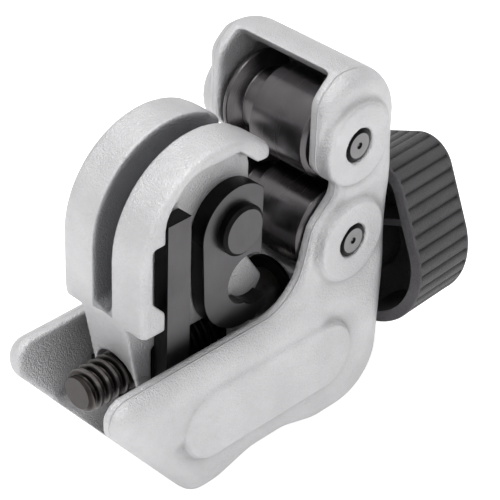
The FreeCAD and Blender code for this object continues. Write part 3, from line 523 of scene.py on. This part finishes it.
def soften(shape, width, angle=25.0, segments=3):
    """Rounds every edge that turns by more than an angle."""
    limit = math.radians(angle)
    edges = [edge for edge in shape.edges if edge.is_manifold and edge.calc_face_angle() > limit]
    bmesh.ops.bevel(shape, geom=edges, offset=width, segments=segments, profile=0.5, affect="EDGES",
                    clamp_overlap=True, material=-1)
    return shape


def softened_copy(node, width):
    """A copy of a CAD node with its edges broken."""
    shape = merged_copy(node)
    bmesh.ops.dissolve_limit(shape, angle_limit=math.radians(0.5), verts=shape.verts, edges=shape.edges)
    return soften(shape, width)


def stand_across(shape, node):
    """Turns a body made about X to lie across the tool, on the axis of its CAD node."""
    low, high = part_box(node)
    turn = Matrix.Rotation(math.pi / 2.0, 4, "Z")
    place = Matrix.Translation(((low[0] + high[0]) / 2.0, 0.0, (low[2] + high[2]) / 2.0))
    bmesh.ops.transform(shape, matrix=place @ turn, verts=shape.verts)
    return shape


def open_edges(shape, along):
    """The open edges that lie at one place along X."""
    return [edge for edge in shape.edges
            if edge.is_boundary and all(abs(vert.co.x - along) < 1e-6 for vert in edge.verts)]


def grow_ring(shape, ring):
    """Extrudes an open ring onto itself, and gives back the new ring's edges and points."""
    grown = bmesh.ops.extrude_edge_only(shape, edges=ring)["geom"]
    edges = [part for part in grown if isinstance(part, bmesh.types.BMEdge)]
    return edges, [part for part in grown if isinstance(part, bmesh.types.BMVert)]


def grow_turned(shape, ring, stations):
    """Carries an open ring about X through (along, radius) stations."""
    for along, radius in stations:
        ring, points = grow_ring(shape, ring)
        for vert in points:
            scale = radius / math.hypot(vert.co.y, vert.co.z)
            vert.co = (along, vert.co.y * scale, vert.co.z * scale)
    return ring


# ---------------------------------------------------------------- feed screw and knob

SCREW_LOW, SCREW_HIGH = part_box("feed_screw")
SCREW_RADIUS = (SCREW_HIGH[2] - SCREW_LOW[2]) / 2.0
SCREW_AXIS = Matrix.Translation((0.0, 0.0, (SCREW_HIGH[2] + SCREW_LOW[2]) / 2.0))
TIP_X, TAIL_X = SCREW_LOW[0], SCREW_HIGH[0]
TAIL_HOLE_RADIUS = 2.0 * MM
TAIL_HOLE_DEPTH = 6.0 * MM
THREAD_PITCH = 25.4 * MM / 16.0
THREAD_DEPTH = 0.8 * MM
THREAD_END = 3.0 * MM


def make_feed_screw(node):
    """A rolled thread that fades in at the tip and out at the shank, a grooved shank, and a tapped tail."""
    tip_radius = 2.4 * MM
    per_turn = 56
    profile_steps = 14
    shape = bmesh.new()
    points = []
    for step in range(profile_steps + 1):
        share = step / profile_steps
        height = max(0.0, min(1.0, 0.38 + 0.9 * math.cos(math.tau * share)))
        radius = SCREW_RADIUS - THREAD_DEPTH * (1.0 - height * height * (3.0 - 2.0 * height))
        points.append(shape.verts.new((TIP_X + (share - 1.0) * THREAD_PITCH, 0.0, radius)))
    edges = [shape.edges.new(pair) for pair in zip(points, points[1:])]
    turns = math.ceil((THREAD_END - TIP_X) / THREAD_PITCH) + 2
    bmesh.ops.spin(shape, geom=points + edges, cent=(0, 0, 0), axis=(1, 0, 0), angle=turns * math.tau,
                   steps=turns * per_turn, dvec=(THREAD_PITCH / per_turn, 0, 0), use_merge=False,
                   use_duplicate=False)
    bmesh.ops.remove_doubles(shape, verts=shape.verts, dist=1e-6)
    for vert in shape.verts:
        radius = math.hypot(vert.co.y, vert.co.z)
        chamfer = tip_radius + max(0.0, vert.co.x - TIP_X)
        run_out = SCREW_RADIUS - max(0.0, THREAD_END - vert.co.x) * 0.6
        scale = max(min(radius, chamfer), run_out) / radius
        vert.co.y *= scale
        vert.co.z *= scale
    for along, side in ((TIP_X, -1.0), (THREAD_END, 1.0)):
        bmesh.ops.bisect_plane(shape, geom=shape.verts[:] + shape.edges[:] + shape.faces[:], dist=1e-7,
                               plane_co=(along, 0, 0), plane_no=(side, 0, 0), clear_outer=True)
    bmesh.ops.remove_doubles(shape, verts=shape.verts, dist=2e-6)
    bmesh.ops.edgeloop_fill(shape, edges=open_edges(shape, TIP_X))
    collar_low, collar_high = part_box("retaining_ring")
    groove = (2.55 * MM, collar_low[0] - 0.1 * MM, collar_high[0] + 0.1 * MM)
    ring = grow_turned(shape, open_edges(shape, THREAD_END), [
        (groove[1], SCREW_RADIUS),
        (groove[1], groove[0]),
        (groove[2], groove[0]),
        (groove[2], SCREW_RADIUS),
        (TAIL_X, SCREW_RADIUS),
        (TAIL_X, TAIL_HOLE_RADIUS),
        (TAIL_X - TAIL_HOLE_DEPTH, TAIL_HOLE_RADIUS),
    ])
    bmesh.ops.edgeloop_fill(shape, edges=ring)
    bmesh.ops.transform(shape, matrix=SCREW_AXIS, verts=shape.verts)
    return shape


def rounded_outline(corners, spacing):
    """Points along a closed outline of (across, up, radius) corners, with straight runs between the arcs."""
    points = []
    for index, (across, up, radius) in enumerate(corners):
        here = Vector((across, up))
        before = (Vector(corners[index - 1][:2]) - here).normalized()
        after = (Vector(corners[(index + 1) % len(corners)][:2]) - here).normalized()
        half = before.angle(after) / 2.0
        centre = here + (before + after).normalized() * radius / math.sin(half)
        start = here + before * radius / math.tan(half) - centre
        sweep = start.angle_signed(here + after * radius / math.tan(half) - centre)
        steps = max(2, round(abs(sweep) * radius / spacing))
        for step in range(steps + 1):
            points.append(centre + Matrix.Rotation(-sweep * step / steps, 2) @ start)
    return points


def outline_length(points):
    return sum((after - before).length for before, after in zip(points, points[1:] + points[:1]))


def walk_outline(points, shares):
    """Places at given shares of a closed outline's length, each with the direction of travel."""
    closed = points + points[:1]
    lengths = [(after - before).length for before, after in zip(closed, closed[1:])]
    places = []
    index = 0
    passed = 0.0
    for share in shares:
        target = share * sum(lengths)
        while passed + lengths[index] <= target:
            passed += lengths[index]
            index += 1
        travel = (closed[index + 1] - closed[index]) / lengths[index]
        places.append((closed[index] + travel * (target - passed), travel))
    return places


# Steps across one rib, closer together towards the creases at its sides.
RIB_SHARES = (0.0, 0.03, 0.07, 0.12, 0.18, 0.26, 0.36, 0.5, 0.64, 0.74, 0.82, 0.88, 0.93, 0.97)
KNOB_LOW, KNOB_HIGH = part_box("knob")
KNOB_LENGTH = KNOB_HIGH[0] - KNOB_LOW[0]
KNOB_WALL = 1.8 * MM


def wing_outline(inset, spacing):
    """One wing's corners and the same again after half a turn, drawn in by an inset."""
    side = 17.3 * MM - inset
    wing = 14.8 * MM - inset
    waist = 11.8 * MM - inset
    step = 2.6 * MM
    half = [(-side, wing, 5.1 * MM - inset), (-side, -waist, 12.0 * MM - inset), (-step, -waist, 6.0 * MM),
            (step, -wing, 6.0 * MM)]
    return rounded_outline(half + [(-across, -up, radius) for across, up, radius in half], spacing)


def rib_relief(share):
    """How far a rib's surface lies below its crown, from 1 in the creases to 0 along the middle."""
    return abs(2.0 * share - 1.0) ** 3.0


def make_knob(node):
    """Two ribbed, hollow wings, each webbed to a hub that is bored for the screw."""
    outline = wing_outline(0.0, 0.1 * MM)
    ribs = 2 * round(outline_length(outline) / (2.15 * MM) / 2.0)
    around = walk_outline(outline, [(rib + share) / ribs for rib in range(ribs) for share in RIB_SHARES])
    relief = 0.45 * MM
    edge_round = 0.35 * MM
    draft = 0.8 * MM
    straight = 5.3 * MM
    margin = 0.45 * MM
    ramp = 0.2 * MM

    quarter = [math.pi / 2.0 * step / 4.0 for step in range(5)]
    stations = [(edge_round * (1.0 - math.cos(angle)), edge_round * (1.0 - math.sin(angle)), 0.0)
                for angle in quarter]
    stations += [(margin + ramp, 0.0, 1.0), (KNOB_LENGTH - margin - ramp, 0.0, 1.0)]
    stations += [(KNOB_LENGTH - edge_round * (1.0 - math.sin(angle)),
                  edge_round * (1.0 - math.cos(angle)), 0.0) for angle in quarter]

    shape = bmesh.new()
    step_of = shape.verts.layers.int.new("step")

    def settle(vert, along, drop, cut):
        place, travel = around[vert[step_of]]
        depth = drop + cut * relief * rib_relief(RIB_SHARES[vert[step_of] % len(RIB_SHARES)])
        inward = Vector((-travel.y, travel.x)) * depth
        narrowing = draft * along / KNOB_LENGTH * max(-1.0, min(1.0, place.x / straight))
        vert.co = (along, place.x + inward.x - narrowing, place.y + inward.y)

    first = []
    for number in range(len(around)):
        vert = shape.verts.new()
        vert[step_of] = number
        settle(vert, *stations[0])
        first.append(vert)
    front_outer = [shape.edges.new(pair) for pair in zip(first, first[1:] + first[:1])]
    back_outer = front_outer
    for station in stations[1:]:
        back_outer, points = grow_ring(shape, back_outer)
        for vert in points:
            settle(vert, *station)

    hollow = 8.0 * MM
    inside = [shape.verts.new((0.0, place.x, place.y)) for place in wing_outline(KNOB_WALL, 0.5 * MM)]
    front_inner = [shape.edges.new(pair) for pair in zip(inside, inside[1:] + inside[:1])]
    floor_outer, points = grow_ring(shape, front_inner)
    bmesh.ops.translate(shape, verts=points, vec=(hollow, 0.0, 0.0))
    tilt = Matrix.Translation((hollow, 0.0, 0.0)) @ Matrix.Rotation(math.pi / 2.0, 4, "Y")
    hub_radius = 6.2 * MM
    recess_radius = 4.2 * MM
    recess = KNOB_LENGTH - 3.0 * MM
    hole = TAIL_HOLE_RADIUS + 0.08 * MM
    socket = TAIL_X - KNOB_LOW[0]
    hub = bmesh.ops.create_circle(shape, segments=72, radius=hub_radius, cap_ends=False,
                                  matrix=tilt)["verts"]
    floor_inner = list({edge for vert in hub for edge in vert.link_edges})
    back_inner = grow_turned(shape, floor_inner, [
        (0.0, hub_radius), (0.0, SCREW_RADIUS), (socket, SCREW_RADIUS), (socket, hole), (recess, hole),
        (recess, recess_radius), (KNOB_LENGTH, recess_radius)])
    for edges in (front_outer + front_inner, floor_outer + floor_inner, back_outer + back_inner):
        bmesh.ops.triangle_fill(shape, edges=edges, use_beauty=True, normal=(-1, 0, 0))
    add_knob_webs(shape, hub_radius, hollow)
    turn = Matrix.Rotation(math.radians(-22.5), 4, "X")
    seat = Matrix.Translation((KNOB_LOW[0], 0, 0)) @ SCREW_AXIS
    bmesh.ops.transform(shape, matrix=seat @ turn, verts=shape.verts)
    return shape


def add_knob_webs(shape, hub_radius, hollow):
    """A thin web in each wing, from the hub to the wing's side, set back from the front."""
    inner = hub_radius / 2.0
    outer = 17.3 * MM - KNOB_WALL / 2.0
    front = 3.2 * MM
    for side in (-1.0, 1.0):
        size = Matrix.Diagonal((hollow + 0.3 * MM - front, outer - inner, 1.2 * MM, 1.0))
        place = Matrix.Translation(((hollow + 0.3 * MM + front) / 2.0, side * (inner + outer) / 2.0,
                                    -side * 3.5 * MM))
        web = bmesh.ops.create_cube(shape, size=1.0, matrix=place @ size)["verts"]
        edges = list({edge for vert in web for edge in vert.link_edges})
        bmesh.ops.bevel(shape, geom=edges, offset=0.2 * MM, segments=2, profile=0.5, affect="EDGES",
                        clamp_overlap=True, material=-1)


# ---------------------------------------------------------------- housing

BOSS_RADIUS = 6.3 * MM
BOSS_MOAT = 0.5 * MM
PAD_RADIUS = 5.5 * MM
PAD_MOAT = 0.6 * MM
PAD_FRONT, PAD_BACK, PAD_MIDDLE = -15.5 * MM, 6.7 * MM, 12.45 * MM


def smooth_step(low, high, value):
    share = max(0.0, min(1.0, (value - low) / (high - low)))
    return share * share * (3.0 - 2.0 * share)


def moat(outside):
    """Depth of a shallow moat, from 0 to 1, at a distance outside the outline of a raised place."""
    return smooth_step(-0.2 * MM, 0.45 * MM, outside) * (1.0 - smooth_step(0.8 * MM, 4.2 * MM, outside))


def make_housing(node):
    """The cast housing, whose side walls are sunk a little round the roller bosses and round the pads."""
    shape = even_copy(node, 0.38 * MM, 4)
    boxes = [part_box("roller_pin_upper"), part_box("roller_pin_lower")]
    bosses = [((low[0] + high[0]) / 2.0, (low[2] + high[2]) / 2.0) for low, high in boxes]
    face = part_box(node)[1][1]
    for vert in shape.verts:
        along, across, up = vert.co
        boss = min(math.hypot(along - x, up - z) for x, z in bosses) - BOSS_RADIUS
        nearest = max(PAD_FRONT, min(PAD_BACK, along))
        pad = math.hypot(along - nearest, up - PAD_MIDDLE) - PAD_RADIUS
        marked = max(smooth_step(PAD_BACK - 2.0 * MM, PAD_BACK + 2.0 * MM, along),
                     smooth_step(-1.0 * MM, 2.0 * MM, PAD_MIDDLE - up))
        sunk = max(BOSS_MOAT * moat(boss), PAD_MOAT * marked * moat(pad))
        sunk *= smooth_step(face - 2.2 * MM, face - 0.8 * MM, abs(across))
        vert.co.y -= math.copysign(sunk, across)
    smooth(shape, shape.verts, 1)
    return shape


# ---------------------------------------------------------------- slide casting

LIP_ROOT_X = -4.2 * MM
LIP_ROOT_Z = 46.5 * MM
LIP_PASSES = 22


def make_slide(node):
    """The slide casting, with the free end of its lip worn rounder than the rest."""
    shape = even_copy(node, 0.24 * MM, 6)
    lip = [vert for vert in shape.verts if vert.co.x > LIP_ROOT_X and vert.co.z > LIP_ROOT_Z]
    smooth(shape, lip, LIP_PASSES)
    return shape


# ---------------------------------------------------------------- rollers, pins, wheel and small fittings

ROLLER_BORE = 2.65 * MM
WHEEL_BORE = 2.05 * MM
PLATE_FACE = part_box("side_plate_far")[1][1]


def make_roller(node):
    """A hardened roller with a flare groove on its far side."""
    low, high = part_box(node)
    half, radius = high[1], (high[2] - low[2]) / 2.0
    chamfer, neck = 0.6 * MM, 4.9 * MM
    rim, corner = radius - chamfer, half - chamfer
    groove_side, slope_start, slope_end = 2.3 * MM, 5.6 * MM, 6.9 * MM
    shape = spin_round([
        (-half, ROLLER_BORE), (-half, rim), (-corner, radius), (groove_side, radius), (groove_side, neck),
        (slope_start, neck), (slope_end, radius), (corner, radius), (half, rim), (half, ROLLER_BORE),
    ], steps=128)
    return stand_across(soften(shape, 0.14 * MM), node)


def make_roller_pin(node):
    """A roller's axle, with a lathe centre and a bevel at each end."""
    low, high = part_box(node)
    half, radius = high[1], (high[2] - low[2]) / 2.0
    centre_depth, centre_radius = 0.45 * MM, 0.5 * MM
    face_radius, bevel_start = radius - 0.7 * MM, half - 0.3 * MM
    end = [(half - centre_depth, 0.0), (half, centre_radius), (half, face_radius), (bevel_start, radius)]
    shape = spin_round([(-along, across) for along, across in end] + end[::-1])
    return stand_across(soften(shape, 0.06 * MM, angle=18.0), node)


def make_wheel(node):
    """The cutter wheel: a hub, a thin web, and a ground bevel to the edge."""
    low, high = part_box(node)
    hub, radius = high[1], (high[2] - low[2]) / 2.0
    hub_radius, web_radius, web = 4.2 * MM, 7.0 * MM, 0.75 * MM
    side = [(hub, WHEEL_BORE), (hub, hub_radius), (web, hub_radius), (web, web_radius)]
    mirrored = [(-along, across) for along, across in side]
    shape = spin_round(mirrored + [(0.0, radius)] + side[::-1], steps=128)
    return stand_across(soften(shape, 0.06 * MM, segments=2), node)


def make_wheel_pin(node):
    """The headed wheel pin, with a groove for the clip."""
    low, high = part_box(node)
    clip_low, clip_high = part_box("pin_clip")
    head, shank, groove = (high[2] - low[2]) / 2.0, 2.0 * MM, 1.55 * MM
    groove_start, groove_end = clip_low[1] - 0.05 * MM, clip_high[1] + 0.05 * MM
    tip_bevel = 0.2 * MM
    shape = spin_round([
        (low[1], 0.0), (low[1], head - 0.5 * MM), (low[1] + 0.4 * MM, head),
        (-PLATE_FACE, head), (-PLATE_FACE, shank), (groove_start, shank),
        (groove_start, groove), (groove_end, groove), (groove_end, shank),
        (high[1] - tip_bevel, shank), (high[1], shank - tip_bevel), (high[1], 0.0),
    ])
    return stand_across(soften(shape, 0.05 * MM), node)


def make_clip(node):
    """The clip in the wheel pin's groove."""
    low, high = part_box(node)
    inner, outer = 1.6 * MM, (high[2] - low[2]) / 2.0
    shape = spin_round([(low[1], inner), (low[1], outer), (high[1], outer), (high[1], inner)])
    return stand_across(soften(shape, 0.1 * MM), node)


def make_ring(node, inner):
    """A flat ring on the screw."""
    low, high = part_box(node)
    outer = (high[2] - low[2]) / 2.0
    shape = spin_round([(low[0], inner), (low[0], outer), (high[0], outer), (high[0], inner)])
    soften(shape, 0.12 * MM)
    bmesh.ops.transform(shape, matrix=SCREW_AXIS, verts=shape.verts)
    return shape


def make_knob_screw(node):
    """A cap screw with a hexagon socket."""
    low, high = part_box(node)
    head, under = (high[2] - low[2]) / 2.0, high[0] - 2.2 * MM
    floor, half_across = high[0] - 1.3 * MM, 1.25 * MM
    shank, tip_bevel, head_bevel = 2.0 * MM, 0.4 * MM, 0.25 * MM
    shape = spin_round([
        (low[0], 0.0), (low[0], shank - tip_bevel), (low[0] + tip_bevel, shank), (under, shank),
        (under, head), (high[0] - head_bevel, head), (high[0], head - head_bevel), (high[0], half_across),
        (floor, half_across), (floor, 0.0),
    ])
    for vert in shape.verts:
        radius = math.hypot(vert.co.y, vert.co.z)
        if vert.co.x > floor - 0.01 * MM and 0.0 < radius < half_across * 1.01:
            turn = (math.atan2(vert.co.z, vert.co.y) + math.pi / 6.0) % (math.pi / 3.0) - math.pi / 6.0
            vert.co.y /= math.cos(turn)
            vert.co.z /= math.cos(turn)
    soften(shape, 0.05 * MM, segments=2)
    bmesh.ops.transform(shape, matrix=SCREW_AXIS, verts=shape.verts)
    return shape


# ---------------------------------------------------------------- the tool

make_camera()
make_lights()
make_world()
make_floor()

HOUSING_ALLOY = cast_alloy("housing_alloy", parting=10.0 * MM)
SLIDE_ALLOY = cast_alloy("slide_alloy", slotted=True)
# The last colour of each blackened plate is the painted shade on its rims.
OXIDE_PLATE = black_plate("oxide_plate", (0.112, 0.109, 0.112), (0.012, 0.012, 0.012))
PIN_FACE = black_plate("pin_face", (0.25, 0.245, 0.25), (0.008, 0.008, 0.008))
OXIDE_TURNED = black_oxide("oxide_turned", (0.125, 0.118, 0.122), 0.25, (0.02, 1.0, 0.02), 3600.0, 0.000001)
# Blackened steel darkened to near-black, far below the plates, as painted shade: the spring, nut and seat
# deep between the arms stay as dark as shade.
OXIDE_PAINTED_SHADE = black_oxide("oxide_painted_shade", (0.014, 0.014, 0.014), 0.5, (1.0, 1.0, 1.0), 3000.0, 0.000008)
SCREW_DARK = worn_screw("screw_dark", (0.038, 0.034, 0.032), (0.17, 0.16, 0.155))
BRIGHT = black_oxide("bright_steel", (0.50, 0.50, 0.51), 0.28, (1.0, 1.0, 1.0), 3000.0, 0.000006)
PLASTIC = knob_plastic()

PIECES = {
    "housing": (make_housing, HOUSING_ALLOY),
    "slide_casting": (make_slide, SLIDE_ALLOY),
    "roller_upper": (make_roller, OXIDE_TURNED),
    "roller_lower": (make_roller, OXIDE_TURNED),
    "roller_pin_upper": (make_roller_pin, PIN_FACE),
    "roller_pin_lower": (make_roller_pin, PIN_FACE),
    "side_plate_near": (lambda node: softened_copy(node, 0.12 * MM), OXIDE_PLATE),
    "side_plate_far": (lambda node: softened_copy(node, 0.12 * MM), OXIDE_PLATE),
    "nut_arm_near": (lambda node: softened_copy(node, 0.12 * MM), OXIDE_PLATE),
    "nut_arm_far": (lambda node: softened_copy(node, 0.12 * MM), OXIDE_PLATE),
    "feed_nut": (lambda node: softened_copy(node, 0.15 * MM), OXIDE_PAINTED_SHADE),
    "cutter_wheel": (make_wheel, BRIGHT),
    "wheel_pin": (make_wheel_pin, OXIDE_PLATE),
    "pin_clip": (make_clip, OXIDE_PAINTED_SHADE),
    "feed_spring": (merged_copy, OXIDE_PAINTED_SHADE),
    "spring_seat": (lambda node: softened_copy(node, 0.1 * MM), OXIDE_PAINTED_SHADE),
    "feed_screw": (make_feed_screw, SCREW_DARK),
    "retaining_ring": (lambda node: make_ring(node, 2.6 * MM), OXIDE_PAINTED_SHADE),
    "thrust_washer": (lambda node: make_ring(node, 3.3 * MM), BRIGHT),
    "knob": (make_knob, PLASTIC),
    "knob_screw": (make_knob_screw, BRIGHT),
}

for node, (make, finish) in PIECES.items():
    made = rebuild(node, make(node), finish)
    if node == "feed_spring":
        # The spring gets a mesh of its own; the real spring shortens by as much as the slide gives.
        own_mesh(made)

bpy.context.scene.view_settings.view_transform = "Standard"
